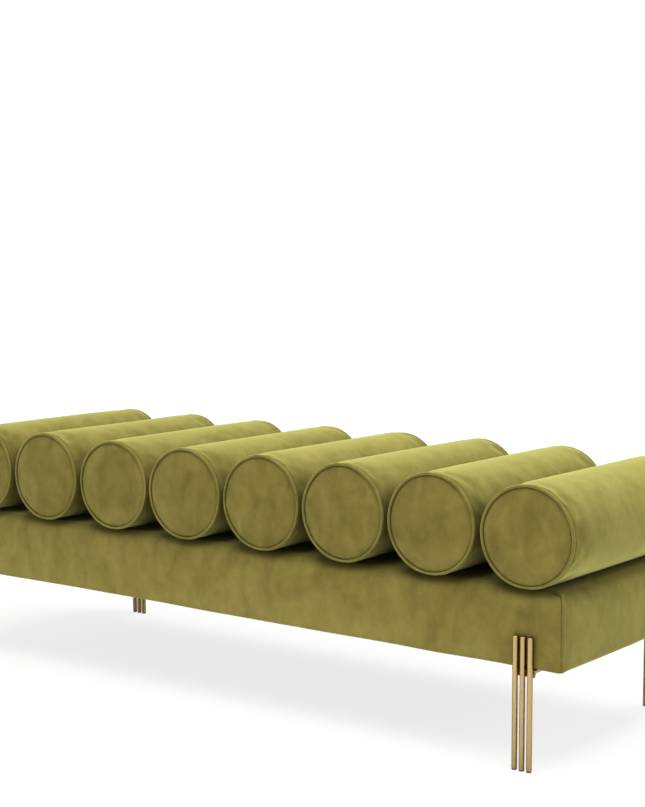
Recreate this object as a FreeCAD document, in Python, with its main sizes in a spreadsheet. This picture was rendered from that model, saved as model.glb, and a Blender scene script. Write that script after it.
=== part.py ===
import FreeCAD, Part
from collections import namedtuple
from enum import IntEnum
from types import SimpleNamespace
import math
import os
import Sketcher

# Backless divan: eight velvet bolsters lie side by side across a velvet-covered box base,
# and each corner of the base stands on three slim brass rods.
# X runs along the divan, -Y is the front, +Z is up, and the origin is on the floor under the middle.
# Every size is in millimetres.

BOLSTER_COUNT = 8
CROSS_RAIL_COUNT = 3
RODS_PER_LEG = 3
HEXAGON_SIDES = 6

driving_sizes = {
    # bolsters
    "bolster_radius": 95,
    "bolster_length": 478,
    "bolster_gap": 5,
    "shoulder_length": 28,
    "shoulder_drop": 2.3,
    "end_crown": 5,
    "welt_radius": 2.8,
    # base box, over its velvet
    "ground_clearance": 178,
    "base_height": 136,
    "base_proud": 2,
    "end_overhang": 24.5,
    "top_edge_round": 20,
    "corner_round": 6,
    # covering and padding
    "velvet": 1.5,
    "padding": 8,
    "hem_width": 25,
    "lining": 0.8,
    "fit_gap": 0.3,
    # timber frame
    "rail_thickness": 22,
    "deck_thickness": 15,
    "cross_rail_height": 80,
    "corner_block_length": 80,
    "corner_block_depth": 55,
    # batten inside each bolster and the bolts that hold it down
    "batten_width": 60,
    "batten_thickness": 25,
    "batten_setback": 19,
    "foam_under_batten": 20,
    "bolt_radius": 4,
    "bolt_inset": 90,
    "timber_over_bolt": 5,
    "bolt_head_radius": 7,
    "bolt_head_height": 5.5,
    "washer_radius": 12,
    "washer_thickness": 2,
    # legs
    "rod_radius": 5,
    "rod_pitch": 14.5,
    "rod_rise": 57,
    "rod_gap": 2,
    "rod_bevel": 0.5,
    "glide_height": 3,
    "glide_setback": 0.4,
    "stem_radius": 2.5,
    "stem_length": 9,
    # brackets that carry the rods, and their screws
    "plate_thickness": 4,
    "plate_margin": 10,
    "flange_height": 13,
    "flange_slant": 4,
    "weld_seat": 0.8,
    "screw_radius": 2,
    "screw_length": 30,
    "screw_head_radius": 4,
    "screw_head_height": 2.4,
    "screw_spacing": 30,
    "hole_clearance": 0.2,
}


class Length:
    """A sum of sizes: its value in millimetres, and its formula in the document's own terms."""

    def __init__(self, factors):
        self.factors = factors

    def __add__(self, other):
        names = list(self.factors) + [name for name in other.factors if name not in self.factors]
        return Length({name: self.factors.get(name, 0) + other.factors.get(name, 0) for name in names})

    def __mul__(self, number):
        return Length({name: factor * number for name, factor in self.factors.items()})

    def __neg__(self):
        return self * -1

    def __sub__(self, other):
        return self + -other

    def __truediv__(self, number):
        return self * (1 / number)

    @property
    def value(self):
        return float(sum(factor * driving_sizes[name] for name, factor in self.factors.items()))

    @property
    def formula(self):
        terms = [f"{factor:g} * sizes.{name}" for name, factor in self.factors.items() if factor]
        return " + ".join(terms) or "0"


ZERO = Length({})
size = SimpleNamespace(**{name: Length({name: 1}) for name in driving_sizes})

doc = FreeCAD.newDocument("backless_divan")
sheet = doc.addObject("Spreadsheet::Sheet", "sizes")
for row, (name, value) in enumerate(driving_sizes.items(), start=1):
    sheet.set(f"A{row}", name)
    sheet.set(f"B{row}", str(value))
    sheet.setAlias(f"B{row}", name)
doc.recompute()

nodes = []


def keep(label, piece):
    """Makes a piece one of the divan's own parts, under the name that a person would use."""
    piece.Label = label
    nodes.append(piece)


def bind(piece, **lengths):
    for name, length in lengths.items():
        piece.setExpression(name, length.formula)


def place(piece, x, y, z):
    spot = FreeCAD.Vector(x.value, y.value, z.value)
    piece.Placement = FreeCAD.Placement(spot, piece.Placement.Rotation)
    bind(piece, **{"Placement.Base.x": x, "Placement.Base.y": y, "Placement.Base.z": z})


# Blocks, bars, groups and cuts

def box(name, x, y, z):
    """A block given by its lowest and highest place along each axis."""
    piece = doc.addObject("Part::Box", name)
    bind(piece, Length=x[1] - x[0], Width=y[1] - y[0], Height=z[1] - z[0])
    place(piece, x[0], y[0], z[0])
    return piece


def upright_bar(name, radius, spot, low, high):
    piece = doc.addObject("Part::Cylinder", name)
    bind(piece, Radius=radius, Height=high - low)
    place(piece, *spot, low)
    return piece


def group(name, pieces):
    together = doc.addObject("Part::Compound", name)
    together.Links = pieces
    return together


def join(name, pieces):
    whole = doc.addObject("Part::MultiFuse", name)
    whole.Shapes = pieces
    whole.Refine = True
    return whole


def cut(name, piece, *tools):
    for number, tool in enumerate(tools, start=1):
        rest = doc.addObject("Part::Cut", f"{name}_cut_{number}")
        rest.Base = piece
        rest.Tool = tool
        piece = rest
    return piece


# Sketched outlines. A side is a line, or an arc that is level at its first or second corner,
# where it shares its x or its y with the arc's centre.

LINE = None
Arc = namedtuple("Arc", "level_end shared")
CROWN_DOWN = Arc(0, "x")
CROWN_UP = Arc(1, "x")
SHOULDER_DOWN = Arc(0, "y")
SHOULDER_UP = Arc(1, "y")
Point = IntEnum("Point", "START FINISH CENTRE")


def origin_plane(body, role):
    return next(plane for plane in body.Origin.OriginFeatures if plane.Role == role)


def new_sketch(body, role):
    sketch = body.newObject("Sketcher::SketchObject", body.Name + "_outline")
    sketch.AttachmentSupport = (origin_plane(body, role), "")
    sketch.MapMode = "FlatFace"
    return sketch


def fix_point(sketch, kind, edge, point, length):
    index = sketch.addConstraint(Sketcher.Constraint(kind, edge, point, length.value))
    sketch.setExpression(f"Constraints[{index}]", length.formula)


def arc_through(ends, side):
    """The arc between two corners, and whether it runs anticlockwise from the first to the second."""
    level = ends[side.level_end]
    chord = ends[1 - side.level_end] - level
    if side.shared == "x":
        inward = FreeCAD.Vector(0, math.copysign(1, chord.y), 0)
    else:
        inward = FreeCAD.Vector(math.copysign(1, chord.x), 0, 0)
    radius = chord.dot(chord) / (2 * chord.dot(inward))
    centre = level + inward * radius
    angles = [math.atan2(end.y - centre.y, end.x - centre.x) for end in ends]
    anticlockwise = (angles[1] - angles[0]) % (2 * math.pi) < math.pi
    if not anticlockwise:
        angles.reverse()
    circle = Part.Circle(centre, FreeCAD.Vector(0, 0, 1), radius)
    return Part.ArcOfCircle(circle, *angles), anticlockwise


def draw_outline(sketch, corners, sides):
    """A closed outline with every corner, and the centre of every arc, tied to the sizes."""
    points = [FreeCAD.Vector(x.value, y.value, 0) for x, y in corners]
    count = len(points)
    first_ends = []
    for number, side in enumerate(sides):
        ends = [points[number], points[(number + 1) % count]]
        if side is LINE:
            curve, anticlockwise = Part.LineSegment(*ends), True
        else:
            curve, anticlockwise = arc_through(ends, side)
        sketch.addGeometry(curve, False)
        first_ends.append(Point.START if anticlockwise else Point.FINISH)
    for number, (x, y) in enumerate(corners):
        before = (number - 1) % count
        last_end = Point.FINISH if first_ends[before] == Point.START else Point.START
        sketch.addConstraint(
            Sketcher.Constraint("Coincident", before, last_end, number, first_ends[number])
        )
        fix_point(sketch, "DistanceX", number, first_ends[number], x)
        fix_point(sketch, "DistanceY", number, first_ends[number], y)
    for number, side in enumerate(sides):
        if side is LINE:
            continue
        x, y = corners[(number + side.level_end) % count]
        if side.shared == "x":
            fix_point(sketch, "DistanceX", number, Point.CENTRE, x)
        else:
            fix_point(sketch, "DistanceY", number, Point.CENTRE, y)


def turned(name, corners, sides):
    """A solid turned about its own Y axis from an outline of radius against place along the axis."""
    body = doc.addObject("PartDesign::Body", name)
    sketch = new_sketch(body, "XY_Plane")
    draw_outline(sketch, corners, sides)
    turn = body.newObject("PartDesign::Revolution", name + "_turned")
    turn.Profile = sketch
    turn.ReferenceAxis = (sketch, ["V_Axis"])
    turn.Angle = 360
    return body


def stand_up(body):
    """Turns a solid from the Y axis to the Z axis."""
    body.Placement.Rotation = FreeCAD.Rotation(FreeCAD.Vector(1, 0, 0), 90)


def edges_between(feature, lowest, highest):
    """The names of the edges whose middles lie between two heights."""
    return [
        f"Edge{number}"
        for number, edge in enumerate(feature.Shape.Edges, start=1)
        if lowest < edge.CenterOfMass.z < highest
    ]


def rounded_block(name, half_length, half_depth, low, high, corner_round, edge_round):
    """A block with rounded upright corners and a rounded top edge."""
    body = doc.addObject("PartDesign::Body", name)
    sketch = new_sketch(body, "XY_Plane")
    corners = [
        (-half_length, -half_depth), (half_length, -half_depth),
        (half_length, half_depth), (-half_length, half_depth),
    ]
    draw_outline(sketch, corners, [LINE] * 4)
    pad = body.newObject("PartDesign::Pad", name + "_block")
    pad.Profile = sketch
    height = high - low
    bind(pad, Length=height)
    doc.recompute()
    corner = body.newObject("PartDesign::Fillet", name + "_corners")
    corner.Base = (pad, edges_between(pad, height.value / 4, height.value * 3 / 4))
    bind(corner, Radius=corner_round)
    doc.recompute()
    rim = body.newObject("PartDesign::Fillet", name + "_rim")
    rim.Base = (corner, edges_between(corner, height.value * 3 / 4, height.value * 2))
    bind(rim, Radius=edge_round)
    place(body, ZERO, ZERO, low)
    return body


# Places that several pieces share. The base is as long as the row of bolsters less an overhang
# at each end, and a little deeper than the bolsters are long.

def bolster_middle(number):
    steps = number - (BOLSTER_COUNT + 1) / 2
    return size.bolster_radius * (2 * steps) + size.bolster_gap * steps


BOLSTERS = range(1, BOLSTER_COUNT + 1)
leg_middle = bolster_middle(BOLSTER_COUNT)
base_half_length = leg_middle + size.bolster_radius - size.end_overhang
base_half_depth = size.bolster_length / 2 + size.base_proud
base_top = size.ground_clearance + size.base_height

under_velvet = size.velvet + size.fit_gap
frame_half_length = base_half_length - under_velvet - size.padding
frame_half_depth = base_half_depth - under_velvet - size.padding
frame_low = size.ground_clearance + under_velvet
deck_top = base_top - under_velvet - size.padding
deck_low = deck_top - size.deck_thickness
rail_inside = frame_half_depth - size.rail_thickness
end_rail_inside = frame_half_length - size.rail_thickness

bolster_axis = base_top + size.fit_gap + size.bolster_radius
batten_low = base_top + size.fit_gap + size.foam_under_batten
batten_high = batten_low + size.batten_thickness
batten_half_length = size.bolster_length / 2 - size.batten_setback
bolt_place = batten_half_length - size.bolt_inset
bolt_tip = batten_high - size.timber_over_bolt

LEGS = [(side, end) for side in ("front", "rear") for end in ("left", "right")]


def towards(length, side):
    """The length itself, or its opposite on the left and at the front."""
    return -length if side in ("left", "front") else length


def span(inner, outer, side):
    """The stretch between two lengths on the given side of the middle, lowest first."""
    return (-outer, -inner) if side in ("left", "front") else (inner, outer)


# Holes that the fixings pass through

first_row = base_half_depth - under_velvet - size.padding - size.rail_thickness / 2
second_row = first_row - size.screw_spacing
screw_spots = [
    (towards(leg_middle + across, end), towards(row, side))
    for side, end in LEGS
    for across in (-size.screw_spacing / 2, size.screw_spacing / 2)
    for row in (first_row, second_row)
]
screw_holes = group("screw_holes", [
    upright_bar("screw_hole", size.screw_radius + size.hole_clearance, spot,
                size.ground_clearance - size.screw_length, size.ground_clearance + size.screw_length)
    for spot in screw_spots
])

bolt_spots = {
    number: [(bolster_middle(number), y) for y in (-bolt_place, bolt_place)] for number in BOLSTERS
}
bolt_holes = {
    number: group(f"bolt_holes_{number}", [
        upright_bar("bolt_hole", size.bolt_radius + size.hole_clearance, spot,
                    deck_low, bolt_tip + size.fit_gap)
        for spot in spots
    ])
    for number, spots in bolt_spots.items()
}
every_bolt_hole = group("every_bolt_hole", list(bolt_holes.values()))

# Timber frame: long rails front and rear, end rails and cross rails between them,
# blocks in the corners for the legs' screws, and a plywood deck on top

for side in ("front", "rear"):
    rail = box(side + "_rail_bar", (-frame_half_length, frame_half_length),
               span(rail_inside, frame_half_depth, side), (frame_low, deck_low))
    keep(side + "_rail", cut(side + "_rail", rail, screw_holes))

for end in ("left", "right"):
    keep(end + "_end_rail", box(end + "_end_rail", span(end_rail_inside, frame_half_length, end),
                                (-rail_inside, rail_inside), (frame_low, deck_low)))

cross_rails = []
for number in range(CROSS_RAIL_COUNT):
    steps = number - (CROSS_RAIL_COUNT - 1) / 2
    middle = (size.bolster_radius * 2 + size.bolster_gap) * (2 * steps)
    cross_rails.append(box("cross_rail", (middle - size.rail_thickness / 2, middle + size.rail_thickness / 2),
                           (-rail_inside, rail_inside), (deck_low - size.cross_rail_height, deck_low)))
keep("cross_rails", group("cross_rails", cross_rails))

blocks = [
    box("corner_block", span(end_rail_inside - size.corner_block_length, end_rail_inside, end),
        span(rail_inside - size.corner_block_depth, rail_inside, side), (frame_low, deck_low))
    for side, end in LEGS
]
keep("corner_blocks", cut("corner_blocks", group("corner_block_set", blocks), screw_holes))

deck = box("deck_sheet", (-frame_half_length, frame_half_length),
           (-frame_half_depth, frame_half_depth), (deck_low, deck_top))
keep("deck_board", cut("deck_board", deck, every_bolt_hole))

# Foam wrapped over the top and the four sides of the frame

wrap = rounded_block("wrap", base_half_length - under_velvet, base_half_depth - under_velvet,
                     frame_low, base_top - under_velvet,
                     size.corner_round - under_velvet, size.top_edge_round - under_velvet)
frame_space = box("frame_space", (-frame_half_length, frame_half_length),
                  (-frame_half_depth, frame_half_depth), (frame_low, deck_top))
keep("base_padding", cut("base_padding", wrap, frame_space, every_bolt_hole))

# Velvet cover of the base, whose hem turns under the rails, and the lining inside the hem

cover_low = size.ground_clearance
outside = rounded_block("cover_outside", base_half_length, base_half_depth, cover_low, base_top,
                        size.corner_round, size.top_edge_round)
inside = rounded_block("cover_inside", base_half_length - size.velvet, base_half_depth - size.velvet,
                       cover_low + size.velvet, base_top - size.velvet,
                       size.corner_round - size.velvet, size.top_edge_round - size.velvet)
hem_half_length = base_half_length - size.hem_width
hem_half_depth = base_half_depth - size.hem_width
hem_opening = box("hem_opening", (-hem_half_length, hem_half_length), (-hem_half_depth, hem_half_depth),
                  (cover_low - size.velvet, cover_low + size.velvet * 2))
keep("base_cover", cut("base_cover", outside, inside, hem_opening, screw_holes, every_bolt_hole))

lining_half_length = hem_half_length - size.fit_gap
lining_half_depth = hem_half_depth - size.fit_gap
lining = box("lining_sheet", (-lining_half_length, lining_half_length),
             (-lining_half_depth, lining_half_depth),
             (cover_low + size.velvet - size.lining, cover_low + size.velvet))
keep("dust_cover", cut("dust_cover", lining, screw_holes))

# Bolsters: a velvet tube with rounded shoulders, closed at each end by a crowned velvet panel
# with a welt round it, over a foam core that is slit for a timber batten

end_radius = size.bolster_radius - size.shoulder_drop
seam = size.bolster_length / 2
tube_end = seam - size.welt_radius - size.fit_gap
shoulder_end = tube_end - size.shoulder_length
panel_radius = end_radius - size.welt_radius * 2 - size.fit_gap
crown_top = seam + size.end_crown


def foam_core(number):
    radius = size.bolster_radius - under_velvet
    neck = end_radius - under_velvet
    rim = panel_radius - size.fit_gap
    neck_place = tube_end - size.welt_radius / 2
    rim_place = seam - under_velvet
    top = crown_top - under_velvet
    core = turned(
        f"foam_{number}",
        [(ZERO, top), (rim, rim_place), (neck, neck_place), (radius, shoulder_end),
         (radius, -shoulder_end), (neck, -neck_place), (rim, -rim_place), (ZERO, -top)],
        [CROWN_DOWN, LINE, SHOULDER_UP, LINE, SHOULDER_DOWN, LINE, CROWN_UP, LINE],
    )
    middle = bolster_middle(number)
    place(core, middle, ZERO, bolster_axis)
    slit = box("batten_slit", (middle - size.batten_width / 2, middle + size.batten_width / 2),
               (-crown_top, crown_top), (batten_low, batten_high))
    return cut(f"foam_core_{number}", core, slit, bolt_holes[number])


def velvet_tube(number):
    inner_radius = size.bolster_radius - size.velvet
    inner_end = end_radius - size.velvet
    tube = turned(
        f"tube_{number}",
        [(end_radius, tube_end), (size.bolster_radius, shoulder_end),
         (size.bolster_radius, -shoulder_end), (end_radius, -tube_end),
         (inner_end, -tube_end), (inner_radius, -shoulder_end),
         (inner_radius, shoulder_end), (inner_end, tube_end)],
        [SHOULDER_UP, LINE, SHOULDER_DOWN, LINE, SHOULDER_UP, LINE, SHOULDER_DOWN, LINE],
    )
    place(tube, bolster_middle(number), ZERO, bolster_axis)
    return cut(f"velvet_tube_{number}", tube, bolt_holes[number])


def end_panel(number, side):
    outer = [(ZERO, crown_top), (panel_radius, seam)]
    inner = [(panel_radius, seam - size.velvet), (ZERO, crown_top - size.velvet)]
    corners = [(radius, towards(along, side)) for radius, along in outer + inner]
    panel = turned(f"{side}_panel_{number}", corners, [CROWN_DOWN, LINE, CROWN_UP, LINE])
    place(panel, bolster_middle(number), ZERO, bolster_axis)
    return panel


def welt(number, side):
    ring = doc.addObject("Part::Torus", f"{side}_welt_{number}")
    bind(ring, Radius1=end_radius - size.welt_radius, Radius2=size.welt_radius)
    stand_up(ring)
    place(ring, bolster_middle(number), towards(seam, side), bolster_axis)
    return ring


for number in BOLSTERS:
    keep(f"bolster_{number}_foam", foam_core(number))
    keep(f"bolster_{number}_cover", velvet_tube(number))
    panels = [end_panel(number, side) for side in ("front", "rear")]
    keep(f"bolster_{number}_end_panels", group(f"end_panels_{number}", panels))
    rings = [welt(number, side) for side in ("front", "rear")]
    keep(f"bolster_{number}_welts", group(f"welts_{number}", rings))

half_batten = size.batten_width / 2
battens = [
    box("batten", (bolster_middle(number) - half_batten, bolster_middle(number) + half_batten),
        (-batten_half_length, batten_half_length), (batten_low, batten_high))
    for number in BOLSTERS
]
keep("bolster_battens", cut("bolster_battens", group("batten_set", battens), every_bolt_hole))

# Hexagon bolts with washers, driven up through the deck into the battens

washer_low = deck_low - size.washer_thickness
bolts = []
for number in BOLSTERS:
    for spot in bolt_spots[number]:
        shank = upright_bar("bolt_shank", size.bolt_radius, spot, washer_low, bolt_tip)
        washer = upright_bar("bolt_washer", size.washer_radius, spot, washer_low, deck_low)
        head = doc.addObject("Part::Prism", "bolt_head")
        head.Polygon = HEXAGON_SIDES
        bind(head, Circumradius=size.bolt_head_radius, Height=size.bolt_head_height)
        place(head, *spot, washer_low - size.bolt_head_height)
        bolts.append(join("bolt", [shank, washer, head]))
keep("bolster_bolts", group("bolster_bolts", bolts))

# Legs: three rods in a row, with a plastic glide plugged into the foot of each, welded to a bracket
# whose plate is screwed up under the base and whose flange, slanted at its ends, stands behind them

rod_line = base_half_depth + size.rod_gap + size.rod_radius
rod_length = size.ground_clearance + size.rod_rise - size.glide_height
flange_face = base_half_depth + size.rod_gap + size.weld_seat
plate_low = size.ground_clearance - size.plate_thickness
plate_end = second_row - size.plate_margin
rods_half_width = size.rod_pitch * ((RODS_PER_LEG - 1) / 2) + size.rod_radius
plate_half_width = rods_half_width + size.flange_slant


def rod(name, spot):
    bevelled = size.rod_radius - size.rod_bevel
    corners = [
        (size.stem_radius, ZERO), (bevelled, ZERO), (size.rod_radius, size.rod_bevel),
        (size.rod_radius, rod_length - size.rod_bevel), (bevelled, rod_length), (ZERO, rod_length),
        (ZERO, size.stem_length), (size.stem_radius, size.stem_length),
    ]
    bar = turned(name, corners, [LINE] * len(corners))
    stand_up(bar)
    place(bar, *spot, size.glide_height)
    return bar


def glide(spot):
    disc = upright_bar("glide_disc", size.rod_radius - size.glide_setback, spot, ZERO, size.glide_height)
    stem = upright_bar("glide_stem", size.stem_radius - size.fit_gap / 2, spot,
                       ZERO, size.glide_height + size.stem_length - size.fit_gap)
    return join("glide", [disc, stem])


def bracket(name, side, end, spots):
    middle = towards(leg_middle, end)
    plate = box(name + "_plate", (middle - plate_half_width, middle + plate_half_width),
                span(plate_end, flange_face, side), (plate_low, size.ground_clearance))
    flange = doc.addObject("PartDesign::Body", name + "_flange")
    corners = [
        (-plate_half_width, ZERO), (-rods_half_width, -size.flange_height),
        (rods_half_width, -size.flange_height), (plate_half_width, ZERO),
    ]
    sketch = new_sketch(flange, "XZ_Plane")
    draw_outline(sketch, corners, [LINE] * 4)
    pad = flange.newObject("PartDesign::Pad", name + "_flange_pad")
    pad.Profile = sketch
    pad.Reversed = side == "front"
    bind(pad, Length=size.plate_thickness)
    place(flange, middle, towards(flange_face, side), size.ground_clearance)
    seats = [
        upright_bar("weld_seat", size.rod_radius, spot, ZERO, size.ground_clearance) for spot in spots
    ]
    bent = join(name + "_bent", [plate, flange])
    return cut(name, bent, group(name + "_seats", seats), screw_holes)


for side, end in LEGS:
    leg = f"{side}_{end}_leg"
    leg_x = towards(leg_middle, end)
    rod_spots = [
        (leg_x + size.rod_pitch * (number - (RODS_PER_LEG - 1) / 2), towards(rod_line, side))
        for number in range(RODS_PER_LEG)
    ]
    keep(f"{leg}_rods", group(f"{leg}_rods", [rod(f"{leg}_rod", spot) for spot in rod_spots]))
    keep(f"{leg}_glides", group(f"{leg}_glides", [glide(spot) for spot in rod_spots]))
    keep(f"{leg}_bracket", bracket(f"{leg}_bracket", side, end, rod_spots))

# Pan-head screws that hold the brackets to the rails and the corner blocks

screws = []
for spot in screw_spots:
    shank = upright_bar("screw_shank", size.screw_radius, spot, plate_low, plate_low + size.screw_length)
    head = upright_bar("screw_head", size.screw_head_radius, spot,
                       plate_low - size.screw_head_height, plate_low)
    screws.append(join("leg_screw", [shank, head]))
keep("leg_screws", group("leg_screws", screws))

doc.recompute()

for thing in doc.Objects:
    if "Invalid" in thing.State or "Error" in thing.State:
        raise RuntimeError(f"{thing.Label} is {thing.State}")
for node in nodes:
    if node.Shape.isNull() or not node.Shape.isValid() or node.Shape.Volume <= 0:
        raise RuntimeError(f"{node.Label} has no sound shape")

os.makedirs("parts", exist_ok=True)
for node in nodes:
    node.Shape.exportStep(f"parts/{node.Label}.step")
    print(node.Label, len(node.Shape.Solids), round(node.Shape.Volume))
print(f"{len(nodes)} nodes")
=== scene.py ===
import math

import bmesh
import bpy
from mathutils import Matrix, Vector, noise


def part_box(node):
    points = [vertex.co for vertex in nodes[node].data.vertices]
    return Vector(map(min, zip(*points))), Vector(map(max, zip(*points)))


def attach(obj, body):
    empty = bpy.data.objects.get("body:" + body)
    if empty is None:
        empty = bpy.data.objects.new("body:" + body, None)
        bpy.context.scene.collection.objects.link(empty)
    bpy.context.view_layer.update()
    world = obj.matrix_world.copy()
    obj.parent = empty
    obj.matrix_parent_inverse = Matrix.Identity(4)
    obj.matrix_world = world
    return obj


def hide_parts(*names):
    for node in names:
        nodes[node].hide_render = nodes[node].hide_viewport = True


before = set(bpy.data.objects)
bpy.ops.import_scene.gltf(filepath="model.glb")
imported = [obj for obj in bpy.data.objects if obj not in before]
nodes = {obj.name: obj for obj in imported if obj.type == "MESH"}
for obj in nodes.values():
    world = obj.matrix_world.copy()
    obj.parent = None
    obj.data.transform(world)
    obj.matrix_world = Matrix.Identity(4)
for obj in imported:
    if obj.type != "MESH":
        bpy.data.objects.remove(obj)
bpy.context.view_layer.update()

# Bolsters: eight round cushions of upholstery foam in sewn velvet cases. A case is a tube with eased
# shoulders and a disc let into each end. It is filled tight, so the discs stand proud of their seams,
# the seams pucker a little, and each bolster sits on the base in its own way.

SEAM_PLACE = 0.2385
SEAM_RADIUS = 0.0908
CUT_RADIUS = 0.0928
DISC_PLACE = 0.2405
SMOOTHED_LENGTH = 0.229
CLOTH_GRID = 0.006
HELD_BAND = 0.0042
SWELL = 0.0045
UNEVENNESS = 0.0011
FLATTENED = 0.0012
SOFTENING = 0.0016
SETTLED = {
    # bolster: the filled case it takes, its turn in degrees, its shift along the divan, its height kept
    1: (0, 10, -0.0030, 0.990),
    2: (1, 95, -0.0005, 0.990),
    3: (2, 200, 0.0015, 0.984),
    4: (0, 250, 0.0005, 0.985),
    5: (1, 310, 0.0005, 0.993),
    6: (2, 60, -0.0010, 0.998),
    7: (0, 150, -0.0010, 0.998),
    8: (1, 215, 0.0000, 0.974),
}
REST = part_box("base_cover")[1].z + 0.0003


def mesh_piece(name, bm):
    """Makes a finished object of a bmesh, smooth shaded."""
    bmesh.ops.recalc_face_normals(bm, faces=bm.faces)
    for face in bm.faces:
        face.smooth = True
    mesh = bpy.data.meshes.new(name)
    bm.to_mesh(mesh)
    bm.free()
    piece = bpy.data.objects.new(name, mesh)
    bpy.context.scene.collection.objects.link(piece)
    return piece


def as_modified(piece):
    """Applies the piece's modifiers to its mesh."""
    depsgraph = bpy.context.evaluated_depsgraph_get()
    mesh = bpy.data.meshes.new_from_object(piece.evaluated_get(depsgraph))
    piece.modifiers.clear()
    piece.data = mesh


def spun_round(bm, outline, steps):
    """Turns an outline of (radius, place) about the Y axis."""
    verts = [bm.verts.new((radius, place, 0)) for radius, place in outline]
    edges = [bm.edges.new(pair) for pair in zip(verts, verts[1:])]
    bmesh.ops.spin(bm, geom=verts + edges, cent=(0, 0, 0), axis=(0, 1, 0), angle=2 * math.pi,
                   steps=steps, use_merge=True)
    bmesh.ops.remove_doubles(bm, verts=bm.verts, dist=1e-5)


def filled(piece, held, pressure, frames, swell):
    """Fills a sewn case: its cloth swells under pressure except where it is held, by a swell at most."""
    before = [vert.co.copy() for vert in piece.data.vertices]
    group = piece.vertex_groups.new(name="held")
    group.add([vert.index for vert in piece.data.vertices if held(vert.co)], 1, "REPLACE")
    cloth = piece.modifiers.new("cloth", "CLOTH")
    cloth.settings.quality = 4
    cloth.settings.mass = 0.3
    cloth.settings.use_pressure = True
    cloth.settings.uniform_pressure_force = pressure
    cloth.settings.vertex_group_mass = "held"
    cloth.settings.bending_stiffness = 2
    cloth.settings.shrink_min = -0.004
    cloth.settings.effector_weights.gravity = 0
    cloth.collision_settings.use_collision = False
    cloth.point_cache.frame_end = frames
    for step in range(1, frames + 1):
        bpy.context.scene.frame_set(step)
    as_modified(piece)
    for vert, start in zip(piece.data.vertices, before):
        move = vert.co - start
        if move.length > 1e-6:
            vert.co = start + move.normalized() * swell * math.tanh(move.length / swell)
    bpy.context.scene.frame_set(1)


def in_seam(co):
    """Whether a place on the cloth is in one of the two seams, which hold it."""
    return abs(abs(co.y) - SEAM_PLACE) < HELD_BAND and math.hypot(co.x, co.z) > SEAM_RADIUS - HELD_BAND


def sewn_case(number):
    """Cuts, sews and fills one case, a little different for each number."""
    half = [(CUT_RADIUS, 0), (CUT_RADIUS, 0.220), (CUT_RADIUS - 0.0003, SMOOTHED_LENGTH),
            (SEAM_RADIUS + 0.0010, 0.2358), (SEAM_RADIUS, 0.2372), (SEAM_RADIUS - 0.002, SEAM_PLACE + 0.0005),
            (SEAM_RADIUS - 0.012, DISC_PLACE), (0, DISC_PLACE)]
    bm = bmesh.new()
    spun_round(bm, [(radius, -place) for radius, place in reversed(half)] + half[1:], 96)
    for vert in bm.verts:
        vert.co += vert.co.normalized() * 0.0006 * noise.noise(vert.co * 22 + Vector((number * 7, 0, 0)))
    case = mesh_piece(f"sewn_case_{number}", bm)
    grid = case.modifiers.new("grid", "REMESH")
    grid.mode = "VOXEL"
    grid.voxel_size = CLOTH_GRID
    as_modified(case)
    filled(case, in_seam, pressure=4, frames=11, swell=SWELL)
    bm = bmesh.new()
    bm.from_mesh(case.data)
    tube = [vert for vert in bm.verts if abs(vert.co.y) < SMOOTHED_LENGTH]
    for step in range(4):
        bmesh.ops.smooth_vert(bm, verts=tube, factor=0.5, use_axis_x=True, use_axis_y=True,
                              use_axis_z=True)
    bm.to_mesh(case.data)
    bm.free()
    return case


cases = [sewn_case(number) for number in range(3)]


def settle(bm, number):
    """Sets a bolster down on the base: turned, flattened a little below, and never quite round."""
    case, turn, shift, kept = SETTLED[number]
    low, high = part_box(f"bolster_{number}_cover")
    radius = (high.z - low.z) / 2
    bmesh.ops.rotate(bm, verts=bm.verts, cent=(0, 0, 0), matrix=Matrix.Rotation(math.radians(turn), 3, "Y"))
    for vert in bm.verts:
        out = Vector((vert.co.x, 0, vert.co.z))
        if out.length > 1e-4:
            place = Vector((math.atan2(out.z, out.x) * 0.9, vert.co.y * 5, number * 3.7))
            vert.co += out.normalized() * UNEVENNESS * noise.noise(place) * min(1, out.length / 0.06)
        vert.co.z = (vert.co.z + radius) * kept + REST
        above = (vert.co.z - REST - FLATTENED) / SOFTENING
        vert.co.z = REST + math.log1p(math.exp(above)) * SOFTENING
    bmesh.ops.translate(bm, verts=bm.verts, vec=((low.x + high.x) / 2 + shift, 0, 0))


def linear(code):
    """An sRGB hex colour as the linear values that a shader takes."""
    parts = [int(code[i:i + 2], 16) / 255 for i in (1, 3, 5)]
    return [c / 12.92 if c <= 0.04045 else ((c + 0.055) / 1.055) ** 2.4 for c in parts] + [1]


def add(tree, kind, links=(), **settings):
    """Adds one node: settings by attribute or socket name, links as (socket, its source or its number)."""
    node = tree.nodes.new("ShaderNode" + kind)
    for name, value in settings.items():
        if hasattr(node, name):
            setattr(node, name, value)
        else:
            node.inputs[name.replace("_", " ")].default_value = value
    for socket, source in links:
        if isinstance(source, (int, float)):
            node.inputs[socket].default_value = source
        else:
            tree.links.new(source, node.inputs[socket])
    return node


def new_material(name):
    """An empty material and its node tree."""
    material = bpy.data.materials.new(name)
    material.use_nodes = True
    material.node_tree.nodes.clear()
    return material, material.node_tree


# Cotton velvet: a short dense pile on a woven ground. It is a deep brown olive where the pile points at the
# eye, and is painted greener and paler as it is seen from the side, a painted sheen; every crease is painted
# dark, a painted shade that also weakens the sheen. Hands have left it mottled with marks 20 to 90 mm across.
# It is painted paler towards the hem of the base and darker up under the bolsters, painted light and shade,
# and darker on the last 70 mm of each bolster's tube, a painted shade for its shoulder. The pile's own 0.3 mm
# is drawn at 1.4 mm.

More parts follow.
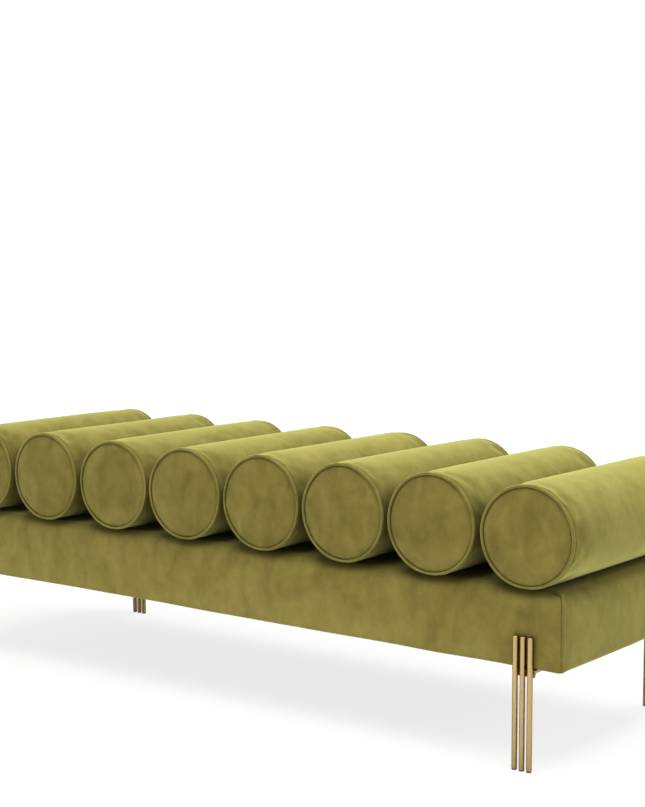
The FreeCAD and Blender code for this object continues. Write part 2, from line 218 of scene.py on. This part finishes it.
velvet, tree = new_material("cotton_velvet")
place = add(tree, "TexCoord").outputs["Object"]
brushed = add(tree, "Mapping", [("Vector", place)], Scale=(1, 1, 0.62))
streaks = add(tree, "TexNoise", [("Vector", brushed.outputs["Vector"])], Scale=30, Detail=4, Roughness=0.55,
              Distortion=0.5)
blotches = add(tree, "TexNoise", [("Vector", place)], Scale=13, Detail=6, Roughness=0.72, Distortion=0.4)
pile = add(tree, "TexNoise", [("Vector", place)], Scale=700, Detail=2, Roughness=0.6)
marks = add(tree, "Math", [(0, streaks.outputs["Fac"]), (1, blotches.outputs["Fac"])], operation="ADD")
nap = add(tree, "MapRange", [("Value", marks.outputs[0])], From_Min=0.70, From_Max=1.30)
where = add(tree, "SeparateXYZ", [("Vector", place)])
# Painted light and shade: the base is painted paler towards its hem and a little darker up under the
# bolsters, less so towards its right end. The mottle is added to it.
down = add(tree, "MapRange", [("Value", where.outputs["Z"])], From_Min=0.19, From_Max=0.31, To_Min=0.32,
           To_Max=-0.04)
across = add(tree, "MapRange", [("Value", where.outputs["X"])], From_Min=0.35, From_Max=0.72, To_Min=1,
             To_Max=0.1)
painted_light_on_base = add(tree, "Math", [(0, down.outputs[0]), (1, across.outputs[0])], operation="MULTIPLY")
mottle_and_painted_light = add(tree, "Math", [(0, nap.outputs[0]), (1, 0.5), (2, painted_light_on_base.outputs[0])], operation="MULTIPLY_ADD")
# Painted shade: the last 70 mm of each bolster's tube is painted darker, with less sheen, for the shade of
# its shoulder.
from_middle = add(tree, "Math", [(0, where.outputs["Y"])], operation="ABSOLUTE").outputs[0]
near_seam = add(tree, "MapRange", [("Value", from_middle)], From_Min=0.165, From_Max=0.234)
off_disc = add(tree, "MapRange", [("Value", from_middle)], From_Min=0.2372, From_Max=SEAM_PLACE, To_Min=1,
               To_Max=0)
on_bolster = add(tree, "MapRange", [("Value", where.outputs["Z"])], From_Min=0.316, From_Max=0.322)
on_tube = add(tree, "Math", [(0, off_disc.outputs[0]), (1, on_bolster.outputs[0])], operation="MULTIPLY")
painted_shade_band = add(tree, "Math", [(0, near_seam.outputs[0]), (1, on_tube.outputs[0])], operation="MULTIPLY")
painted_band_darkening = add(tree, "MapRange", [("Value", painted_shade_band.outputs[0])], To_Min=0, To_Max=-0.2)
tone_level = add(tree, "Math", [(0, mottle_and_painted_light.outputs[0]), (1, painted_band_darkening.outputs[0])], operation="ADD")
sheen_under_painted_band = add(tree, "MapRange", [("Value", painted_shade_band.outputs[0])], To_Min=1, To_Max=0.62)
fibre = add(tree, "Bump", [("Height", pile.outputs["Fac"])], Strength=0.3, Distance=0.0005)
lean = add(tree, "Bump", [("Height", nap.outputs[0]), ("Normal", fibre.outputs["Normal"])], Strength=0.15,
           Distance=0.0012)
olive = add(tree, "MixRGB", [("Fac", tone_level.outputs[0])], Color1=linear("#665B28"),
            Color2=linear("#968948"))
painted_sheen_green = add(tree, "MixRGB", [("Fac", tone_level.outputs[0])], Color1=linear("#69622C"),
           Color2=linear("#998F4E"))
# Painted sheen: where the velvet is seen from the side, its colour is painted greener, then paler.
aside = add(tree, "LayerWeight", [("Normal", lean.outputs["Normal"])], Blend=0.5).outputs["Facing"]
painted_sheen_green_amount = add(tree, "MapRange", [("Value", aside)], From_Min=0.26, From_Max=0.50)
painted_sheen_amount = add(tree, "MapRange", [("Value", aside)], From_Min=0.5, From_Max=1.0, To_Max=0.6)
olive_with_painted_sheen = add(tree, "MixRGB", [("Fac", painted_sheen_green_amount.outputs[0]), ("Color1", olive.outputs[0]),
                             ("Color2", painted_sheen_green.outputs[0])])
velvet_with_painted_sheen = add(tree, "MixRGB", [("Fac", painted_sheen_amount.outputs[0]), ("Color1", olive_with_painted_sheen.outputs[0])],
           Color2=linear("#B7B262"))
# Painted shade: creases, seams and the gaps between parts are painted dark brown, and their sheen is
# weakened, by how closely they are hemmed in.
deep = add(tree, "AmbientOcclusion", samples=8, Distance=0.10)
seam = add(tree, "AmbientOcclusion", samples=8, Distance=0.004)
painted_deep_shade_factor = add(tree, "MapRange", [("Value", deep.outputs["AO"])], From_Min=0.05, From_Max=0.95, To_Min=0.38)
painted_seam_shade_factor = add(tree, "MapRange", [("Value", seam.outputs["AO"])], From_Min=0.3, From_Max=0.9, To_Min=0.8)
painted_crease_shade_factor = add(tree, "Math", [(0, painted_deep_shade_factor.outputs[0]), (1, painted_seam_shade_factor.outputs[0])], operation="MULTIPLY")
painted_crease_shade_on_sheen = add(tree, "Math", [(0, painted_crease_shade_factor.outputs[0]), (1, painted_crease_shade_factor.outputs[0])], operation="MULTIPLY")
sheen_under_painted_shade = add(tree, "Math", [(0, painted_crease_shade_on_sheen.outputs[0]), (1, sheen_under_painted_band.outputs[0])], operation="MULTIPLY")
shade = add(tree, "MixRGB", [("Fac", painted_crease_shade_factor.outputs[0]), ("Color2", velvet_with_painted_sheen.outputs[0])],
            Color1=linear("#1C1406"))
surface = add(tree, "BsdfPrincipled", [("Base Color", shade.outputs[0]), ("Normal", lean.outputs["Normal"]),
                                       ("Sheen Weight", sheen_under_painted_shade.outputs[0])],
              Roughness=0.9, Specular_IOR_Level=0.1, Sheen_Roughness=0.3, Sheen_Tint=linear("#DEE38C"))
add(tree, "OutputMaterial", [("Surface", surface.outputs["BSDF"])])

for number in SETTLED:
    bm = bmesh.new()
    bm.from_mesh(cases[SETTLED[number][0]].data)
    settle(bm, number)
    bolster = mesh_piece(f"bolster_{number}", bm)
    smooth = bolster.modifiers.new("smooth", "SUBSURF")
    smooth.levels = smooth.render_levels = 1
    bolster.data.materials.append(velvet)
    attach(bolster, "root")
    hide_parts(f"bolster_{number}_cover", f"bolster_{number}_end_panels", f"bolster_{number}_foam")
for case in cases:
    bpy.data.objects.remove(case)

# Piping: a bias strip of the same velvet, sewn round a cord and let into the seam at both ends of a
# bolster, so it follows the seam and stands out between the tube and the disc. At the back, where the
# case is closed by hand, it is drawn down a little deeper.

PIPING_RADIUS = 0.0027
PIPING_PLACE = 0.2393
FRONT, REAR = -1, 1
OUTER_RADIUS = {FRONT: 0.0927, REAR: 0.0910}

for number in SETTLED:
    bm = bmesh.new()
    for side in (FRONT, REAR):
        middle = Matrix.Translation((OUTER_RADIUS[side] - PIPING_RADIUS, side * PIPING_PLACE, 0))
        cord = bmesh.ops.create_circle(bm, segments=12, radius=PIPING_RADIUS, matrix=middle)["verts"]
        loop = {edge for vert in cord for edge in vert.link_edges}
        bmesh.ops.spin(bm, geom=cord + list(loop), cent=(0, 0, 0), axis=(0, 1, 0), angle=2 * math.pi,
                       steps=144, use_merge=True)
    bmesh.ops.remove_doubles(bm, verts=bm.verts, dist=1e-6)
    settle(bm, number)
    piping = mesh_piece(f"bolster_{number}_piping", bm)
    piping.data.materials.append(velvet)
    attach(piping, "root")
    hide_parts(f"bolster_{number}_welts")

# Base upholstery: one velvet cover drawn down over the wadded frame, turned under it and stapled. Its
# top edges are soft, its lower edge is drawn in a little, and the lining sits inside the turned hem.

HEM = 0.025
EDGE_ROUND = 0.023
CORNER_ROUND = 0.007
TAKEN_IN = 0.0015
CLOTH_STEP = 0.0125
CLEAR_OF_EDGE = 0.006
CORNER_HELD = 0.012
DRAWN_IN = 0.0035
HEM_WAVE = 0.0022
PADDING_WAVE = 0.0016
SIDE_BAND = 0.03
LINING_STEP = 0.004

low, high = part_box("base_cover")
middle = (low + high) / 2
half = (high - low) / 2
bm = bmesh.new()
bmesh.ops.create_cube(bm, size=2)
bmesh.ops.scale(bm, verts=bm.verts, vec=(half.x - TAKEN_IN, half.y - TAKEN_IN, half.z))
bmesh.ops.translate(bm, verts=bm.verts, vec=middle)
upright = [edge for edge in bm.edges if abs(edge.verts[0].co.z - edge.verts[1].co.z) > half.z]
bmesh.ops.bevel(bm, geom=upright, offset=CORNER_ROUND, affect="EDGES", segments=3, profile=0.5, material=-1)
rim = [edge for edge in bm.edges if all(vert.co.z > high.z - 0.001 for vert in edge.verts)]
bmesh.ops.bevel(bm, geom=rim, offset=EDGE_ROUND, affect="EDGES", segments=4, profile=0.5, material=-1)


def sliced(bm, places, axis):
    """Cuts a grid line through the mesh at each place along an axis."""
    for place in places:
        point = Vector((0, 0, 0))
        point[axis] = place
        normal = Vector((0, 0, 0))
        normal[axis] = 1
        geom = bm.verts[:] + bm.edges[:] + bm.faces[:]
        bmesh.ops.bisect_plane(bm, geom=geom, plane_co=point, plane_no=normal)


def spaced(first, last, gap):
    """Even places from first to last, about a gap apart."""
    count = round((last - first) / gap)
    return [first + (last - first) * step / count for step in range(count + 1)]


def on_frame(co):
    """Whether a place on the cover is held: along the hem, on the deck, or at a corner."""
    at_corner = abs(co.x) > half.x - CORNER_HELD and abs(co.y) > half.y - CORNER_HELD
    return co.z < low.z + 0.001 or co.z > high.z - 0.001 or at_corner


sliced(bm, spaced(HEM - half.x, half.x - HEM, CLOTH_STEP), 0)
sliced(bm, spaced(HEM - half.y, half.y - HEM, CLOTH_STEP), 1)
sliced(bm, spaced(low.z + CLEAR_OF_EDGE, high.z - EDGE_ROUND - CLEAR_OF_EDGE, CLOTH_STEP), 2)
base = mesh_piece("base_upholstery", bm)
filled(base, on_frame, pressure=3, frames=8, swell=0.0025)
bm = bmesh.new()
bm.from_mesh(base.data)
for vert in bm.verts:
    rise = (vert.co.z - low.z) / (high.z - low.z)
    drawn = DRAWN_IN * max(0, 1 - rise * 4) ** 2
    wave = HEM_WAVE * noise.noise(Vector((vert.co.x * 6, vert.co.y * 6, 2.1)))
    soft = PADDING_WAVE * noise.noise(Vector((vert.co.x * 9, vert.co.y * 9, vert.co.z * 12)))
    for axis in (0, 1):
        beyond = abs(vert.co[axis]) - (half[axis] - SIDE_BAND)
        if beyond > 0:
            vert.co[axis] += math.copysign(soft - drawn * beyond / SIDE_BAND, vert.co[axis])
    if rise < 0.01 and abs(vert.co.x) < half.x - HEM - 0.001 and abs(vert.co.y) < half.y - HEM - 0.001:
        vert.co.z += LINING_STEP
    else:
        vert.co.z += wave * (1 - rise)
bpy.data.objects.remove(base)
base = mesh_piece("base_upholstery", bm)
smooth = base.modifiers.new("smooth", "SUBSURF")
smooth.levels = smooth.render_levels = 1
base.data.materials.append(velvet)
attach(base, "root")
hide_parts("base_cover", "base_padding")

# Corner seams: where the cover's panels meet, the seam allowances make a narrow ridge that runs up
# each corner and turns in over the top edge.

RIDGE_RADIUS = 0.0033
RIDGE_STEPS = 12
TURNED_IN = 70

bm = bmesh.new()
for side_x in (-1, 1):
    for side_y in (-1, 1):
        foot = Vector((side_x * (half.x - 0.0002), side_y * (half.y - 0.0066), low.z + 0.0010))
        inward = Vector((-side_x, -side_y, 0)).normalized()
        rise = (high.z - EDGE_ROUND - foot.z) / RIDGE_STEPS
        verts = bmesh.ops.create_circle(bm, segments=10, radius=RIDGE_RADIUS,
                                        matrix=Matrix.Translation(foot))["verts"]
        edges = list({edge for vert in verts for edge in vert.link_edges})
        for step in range(RIDGE_STEPS):
            made = bmesh.ops.extrude_edge_only(bm, edges=edges)["geom"]
            edges = [item for item in made if isinstance(item, bmesh.types.BMEdge)]
            verts = [item for item in made if isinstance(item, bmesh.types.BMVert)]
            bmesh.ops.translate(bm, verts=verts, vec=(0, 0, rise))
        centre = foot + Vector((0, 0, rise * RIDGE_STEPS)) + inward * EDGE_ROUND
        bmesh.ops.spin(bm, geom=verts + edges, cent=centre, axis=Vector((0, 0, 1)).cross(inward),
                       angle=math.radians(TURNED_IN), steps=6, use_merge=False)
bmesh.ops.remove_doubles(bm, verts=bm.verts, dist=1e-6)
bmesh.ops.holes_fill(bm, edges=bm.edges, sides=0)
seams = mesh_piece("base_corner_seams", bm)
smooth = seams.modifiers.new("smooth", "SUBSURF")
smooth.levels = smooth.render_levels = 1
seams.data.materials.append(velvet)
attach(seams, "root")

# Lining: one flat sheet of black non-woven cloth under the base, drawn tight inside the turned hem and
# stapled to the rails. It is dull, and its fibres show as a fine dark mottle.

low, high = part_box("dust_cover")
bm = bmesh.new()
bmesh.ops.create_grid(bm, x_segments=60, y_segments=18, size=0.5)
bmesh.ops.scale(bm, verts=bm.verts, vec=(high.x - low.x, high.y - low.y, 1))
bmesh.ops.translate(bm, verts=bm.verts, vec=(0, 0, high.z))
lining = mesh_piece("base_lining", bm)
cloth, tree = new_material("non_woven_lining")
place = add(tree, "TexCoord").outputs["Object"]
fibres = add(tree, "TexNoise", [("Vector", place)], Scale=900, Detail=2)
tone = add(tree, "MixRGB", [("Fac", fibres.outputs["Fac"])], Color1=linear("#141414"),
           Color2=linear("#2A2A2A"))
surface = add(tree, "BsdfPrincipled", [("Base Color", tone.outputs[0])], Roughness=0.95)
add(tree, "OutputMaterial", [("Surface", surface.outputs["BSDF"])])
lining.data.materials.append(cloth)
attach(lining, "root")
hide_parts("dust_cover")


def finish_nodes(material, *names):
    """Gives CAD nodes their finish."""
    for name in names:
        slots = nodes[name].data.materials
        slots.clear()
        slots.append(material)


LEGS = [f"{side}_{end}_leg" for side in ("front", "rear") for end in ("left", "right")]

# Legs: solid brass rods and bent brass brackets, drawn and brushed along their length. They are painted a
# little browner where they are seen from the side, a painted shade which rounds the rods.

brass, tree = new_material("satin_brass")
place = add(tree, "TexCoord").outputs["Object"]
along = add(tree, "Mapping", [("Vector", place)], Scale=(1, 1, 0.02))
brush = add(tree, "TexNoise", [("Vector", along.outputs["Vector"])], Scale=900, Detail=2)
tone = add(tree, "MixRGB", [("Fac", brush.outputs["Fac"])], Color1=linear("#A3875A"),
           Color2=linear("#B9A071"))
grain = add(tree, "Bump", [("Height", brush.outputs["Fac"])], Strength=0.05, Distance=0.0002)
# Painted shade: the brass is painted darker brown where it is seen from the side.
aside = add(tree, "LayerWeight", Blend=0.5).outputs["Facing"]
edge = add(tree, "MapRange", [("Value", aside)], From_Min=0.25, From_Max=0.9, To_Max=0.8)
brass_with_painted_edge_shade = add(tree, "MixRGB", [("Fac", edge.outputs[0]), ("Color1", tone.outputs[0])],
              Color2=linear("#5F4C2B"))
surface = add(tree, "BsdfPrincipled", [("Base Color", brass_with_painted_edge_shade.outputs[0]),
                                       ("Normal", grain.outputs["Normal"])], Metallic=1, Roughness=0.34)
add(tree, "OutputMaterial", [("Surface", surface.outputs["BSDF"])])
finish_nodes(brass, *[f"{leg}_rods" for leg in LEGS], *[f"{leg}_bracket" for leg in LEGS])

# Glides: turned plugs of grey nylon, pressed into the rods' feet so that the brass stays off the floor.
# They are dull, with the marks of the floor on them.

nylon, tree = new_material("grey_nylon")
place = add(tree, "TexCoord").outputs["Object"]
scuffs = add(tree, "TexNoise", [("Vector", place)], Scale=600, Detail=3)
tone = add(tree, "MixRGB", [("Fac", scuffs.outputs["Fac"])], Color1=linear("#55554F"),
           Color2=linear("#75756E"))
surface = add(tree, "BsdfPrincipled", [("Base Color", tone.outputs[0])], Roughness=0.5)
add(tree, "OutputMaterial", [("Surface", surface.outputs["BSDF"])])
finish_nodes(nylon, *[f"{leg}_glides" for leg in LEGS])

# Screws and bolts: steel with a bright zinc plating, clouded here and there. The screws hold the leg
# brackets up against the base, and the bolts go up through the deck into the bolsters' battens.

zinc, tree = new_material("zinc_plated_steel")
place = add(tree, "TexCoord").outputs["Object"]
clouds = add(tree, "TexNoise", [("Vector", place)], Scale=250, Detail=4)
tone = add(tree, "MixRGB", [("Fac", clouds.outputs["Fac"])], Color1=linear("#A9ADB0"),
           Color2=linear("#D2D5D6"))
dull = add(tree, "MapRange", [("Value", clouds.outputs["Fac"])], To_Min=0.25, To_Max=0.5)
surface = add(tree, "BsdfPrincipled", [("Base Color", tone.outputs[0]), ("Roughness", dull.outputs[0])],
              Metallic=1)
add(tree, "OutputMaterial", [("Surface", surface.outputs["BSDF"])])
finish_nodes(zinc, "leg_screws", "bolster_bolts")

# Frame timber: planed pine for the rails, the corner blocks and the battens in the bolsters, its rings
# drawn out along each piece's length. The upholstery hides all of it.


def pine(name, stretch):
    """Pine with its grain drawn out along the axis that the stretch makes small."""
    timber, tree = new_material(name)
    place = add(tree, "TexCoord").outputs["Object"]
    along = add(tree, "Mapping", [("Vector", place)], Scale=stretch)
    rings = add(tree, "TexWave", [("Vector", along.outputs["Vector"])], Scale=28, Distortion=5, Detail=2,
                wave_type="RINGS")
    tone = add(tree, "MixRGB", [("Fac", rings.outputs["Fac"])], Color1=linear("#C79A63"),
               Color2=linear("#E3C594"))
    surface = add(tree, "BsdfPrincipled", [("Base Color", tone.outputs[0])], Roughness=0.6)
    add(tree, "OutputMaterial", [("Surface", surface.outputs["BSDF"])])
    return timber


finish_nodes(pine("pine_along_x", (0.04, 1, 1)), "front_rail", "rear_rail")
finish_nodes(pine("pine_along_y", (1, 0.04, 1)), "left_end_rail", "right_end_rail", "cross_rails",
             "bolster_battens")
finish_nodes(pine("pine_upright", (1, 1, 0.04)), "corner_blocks")

# Deck: one board of birch plywood on the frame, drilled for the bolsters' bolts. It has pale rotary
# veneer on its faces and 1.4 mm plies at its edges.

PLY = 0.0014

birch, tree = new_material("birch_plywood")
place = add(tree, "TexCoord").outputs["Object"]
along = add(tree, "Mapping", [("Vector", place)], Scale=(0.08, 1, 1))
figure = add(tree, "TexNoise", [("Vector", along.outputs["Vector"])], Scale=60, Detail=4, Distortion=0.6)
height = add(tree, "SeparateXYZ", [("Vector", place)]).outputs["Z"]
plies = add(tree, "Math", [(0, height), (1, PLY)], operation="PINGPONG")
mixed = add(tree, "MapRange", [("Value", plies.outputs[0])], From_Max=PLY, To_Max=0.35)
both = add(tree, "Math", [(0, figure.outputs["Fac"]), (1, mixed.outputs[0])], operation="ADD")
tone = add(tree, "MixRGB", [("Fac", both.outputs[0])], Color1=linear("#E2CBA2"), Color2=linear("#B98F5E"))
surface = add(tree, "BsdfPrincipled", [("Base Color", tone.outputs[0])], Roughness=0.65)
add(tree, "OutputMaterial", [("Surface", surface.outputs["BSDF"])])
finish_nodes(birch, "deck_board")

# Studio: a white paper floor that fades to white all round, a broad lamp overhead, and two softer ones
# from the right and from the front left. For all but camera rays the paper in front glows, a painted bounce
# light on the divan.

bm = bmesh.new()
bmesh.ops.create_grid(bm, x_segments=1, y_segments=1, size=30)
floor = mesh_piece("studio_floor", bm)
paper, tree = new_material("studio_floor_paper")
seen = add(tree, "LightPath").outputs["Is Camera Ray"]
place = add(tree, "TexCoord").outputs["Object"]
away = add(tree, "VectorMath", [(0, place)], operation="LENGTH")
glow = add(tree, "MapRange", [("Value", away.outputs["Value"])], From_Min=1.0, From_Max=3.5, To_Min=0.785,
           To_Max=1.0)
backlit = add(tree, "Emission", [("Strength", glow.outputs[0])])
shadowed = add(tree, "BsdfDiffuse", Color=(0.22, 0.22, 0.22, 1))
both = add(tree, "AddShader", [(0, backlit.outputs[0]), (1, shadowed.outputs[0])])
plain = add(tree, "BsdfDiffuse", Color=(0.8, 0.8, 0.8, 1))
# Painted light: for all but camera rays the paper in front of the divan glows, a painted bounce light on it.
ahead = add(tree, "SeparateXYZ", [("Vector", place)]).outputs["Y"]
lit = add(tree, "MapRange", [("Value", ahead)], From_Min=-0.9, From_Max=-0.25, To_Min=0.45, To_Max=0)
painted_bounce_glow = add(tree, "Emission", [("Strength", lit.outputs[0])])
bright = add(tree, "AddShader", [(0, plain.outputs[0]), (1, painted_bounce_glow.outputs[0])])
surface = add(tree, "MixShader", [("Fac", seen), (1, bright.outputs[0]), (2, both.outputs[0])])
add(tree, "OutputMaterial", [("Surface", surface.outputs[0])])
floor.data.materials.append(paper)

world = bpy.data.worlds.new("studio")
bpy.context.scene.world = world
world.use_nodes = True
tree = world.node_tree
tree.nodes.clear()
path = add(tree, "LightPath")
power = add(tree, "MapRange", [("Value", path.outputs["Is Camera Ray"])], To_Min=0.35, To_Max=1.0)
air = add(tree, "Background", [("Strength", power.outputs[0])], Color=(1, 1, 1, 1))
add(tree, "OutputWorld", [("Surface", air.outputs["Background"])])


def softbox(name, place, aim, size, watts):
    """Hangs one rectangular lamp and points it."""
    lamp = bpy.data.lights.new(name, "AREA")
    lamp.shape = "RECTANGLE"
    lamp.size, lamp.size_y = size
    lamp.energy = watts
    holder = bpy.data.objects.new(name, lamp)
    bpy.context.scene.collection.objects.link(holder)
    holder.location = place
    holder.rotation_euler = (Vector(aim) - Vector(place)).to_track_quat("-Z", "Y").to_euler()


softbox("overhead", (0.5, 0.0, 3.0), (0, 0, 0.3), (4, 2.6), 155)
softbox("right", (3.2, -0.6, 1.8), (0.3, 0, 0.3), (0.9, 0.9), 25)
softbox("front_left", (-2.6, -3.4, 0.9), (-0.3, 0, 0.3), (2.4, 1.6), 30)

# Camera: at the eye point that the perspective of the rings, the base and the rods gives.

YAW, PITCH = 37.2526, 5.7939
eye = bpy.data.cameras.new("camera")
eye.sensor_width = 36
eye.lens = 76.085
camera = bpy.data.objects.new("camera", eye)
bpy.context.scene.collection.objects.link(camera)
camera.location = (2.13639, -2.72434, 0.9236)
camera.rotation_euler = (math.radians(90 - PITCH), 0, math.radians(YAW))
bpy.context.scene.camera = camera
bpy.context.scene.view_settings.view_transform = "Standard"
